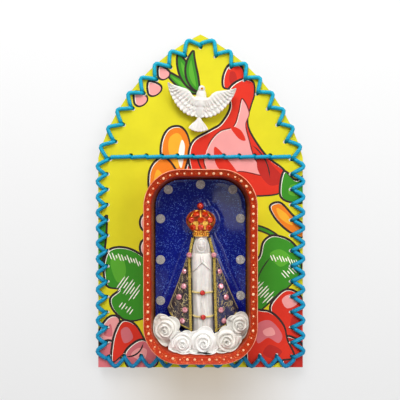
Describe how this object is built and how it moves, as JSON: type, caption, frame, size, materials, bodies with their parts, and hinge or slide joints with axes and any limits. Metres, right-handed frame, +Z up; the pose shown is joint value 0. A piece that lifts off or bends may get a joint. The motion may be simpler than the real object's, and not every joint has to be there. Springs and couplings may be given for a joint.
{
  "type": "wall shrine",
  "caption": "Pointed cloth-covered wall board laced with cord round its edge, carrying an open tin niche with a crowned figure, ribbon roses and a dove above.",
  "frame": {"origin": "on the flat back that lies on the wall, on the centre line, at the height of the middle of the tin", "axes": "+Z up, +Y into the wall, +X to the right of someone facing the shrine"},
  "size_m": [0.1184, 0.0291, 0.1922],
  "materials": {
    "back_card": "plain grey-brown card, matt",
    "board_card": "stiff grey card, matt cut edges",
    "printed_cotton": "plain-weave cotton with a bold floral print on yellow",
    "blue_cord": "round waxed cord, turquoise blue, slight sheen",
    "red_paint": "hand-brushed red gloss paint, gold paint dots on the rim",
    "blue_glitter": "dark blue glitter paper, glossy",
    "silver_foil": "silver glitter paper discs",
    "white_paint": "cast resin with off-white paint",
    "mantle_paint": "cast resin with dark blue-black gloss paint and gold lines",
    "gold_braid": "metallic gold braid and cord",
    "gold_crown": "cast resin with gold paint",
    "pink_crystal": "clear pink cut stones with foil backs",
    "red_crystal": "red-orange cut stones and bead",
    "white_ribbon": "white satin and sheer ribbon",
    "dove_plaster": "cast resin with white paint, small gold beak"
  },
  "bodies": {
    "root": {"back_panel": "back_card", "backboard": "board_card", "braid_left": "gold_braid", "braid_right": "gold_braid", "cross_stitch": "blue_cord", "crown": "gold_crown", "crown_bead": "red_crystal", "crown_stone_lower": "red_crystal", "crown_stone_lower_left": "red_crystal", "crown_stone_lower_right": "red_crystal", "crown_stone_middle": "red_crystal", "crown_stone_middle_left": "red_crystal", "crown_stone_middle_right": "red_crystal", "crown_stone_top_left": "red_crystal", "crown_stone_top_right": "red_crystal", "dove": "dove_plaster", "edge_lacing": "blue_cord", "front_cloth": "printed_cotton", "glitter_panel": "blue_glitter", "head": "white_paint", "mantle_left": "mantle_paint", "mantle_right": "mantle_paint", "pink_stone_chest_left": "pink_crystal", "pink_stone_chest_right": "pink_crystal", "pink_stone_elbow_left": "pink_crystal", "pink_stone_elbow_right": "pink_crystal", "pink_stone_hem_left": "pink_crystal", "pink_stone_hem_right": "pink_crystal", "pink_stone_knee_left": "pink_crystal", "pink_stone_knee_right": "pink_crystal", "pink_stone_shoulder_left": "pink_crystal", "pink_stone_shoulder_right": "pink_crystal", "pink_stone_waist_left": "pink_crystal", "pink_stone_waist_right": "pink_crystal", "red_stone_lower": "red_crystal", "red_stone_upper": "red_crystal", "robe": "white_paint", "rose_left_inner": "white_ribbon", "rose_left_outer": "white_ribbon", "rose_middle": "white_ribbon", "rose_right_inner": "white_ribbon", "rose_right_outer": "white_ribbon", "silver_dot_foot_left": "silver_foil", "silver_dot_lower_left": "silver_foil", "silver_dot_lower_right": "silver_foil", "silver_dot_middle_left": "silver_foil", "silver_dot_middle_right": "silver_foil", "silver_dot_top": "silver_foil", "silver_dot_top_left": "silver_foil", "silver_dot_top_right": "silver_foil", "silver_dot_upper_left": "silver_foil", "silver_dot_upper_right": "silver_foil", "tin": "red_paint", "waist_cord_lower": "gold_braid", "waist_cord_upper": "gold_braid"}
  },
  "joints": []
}
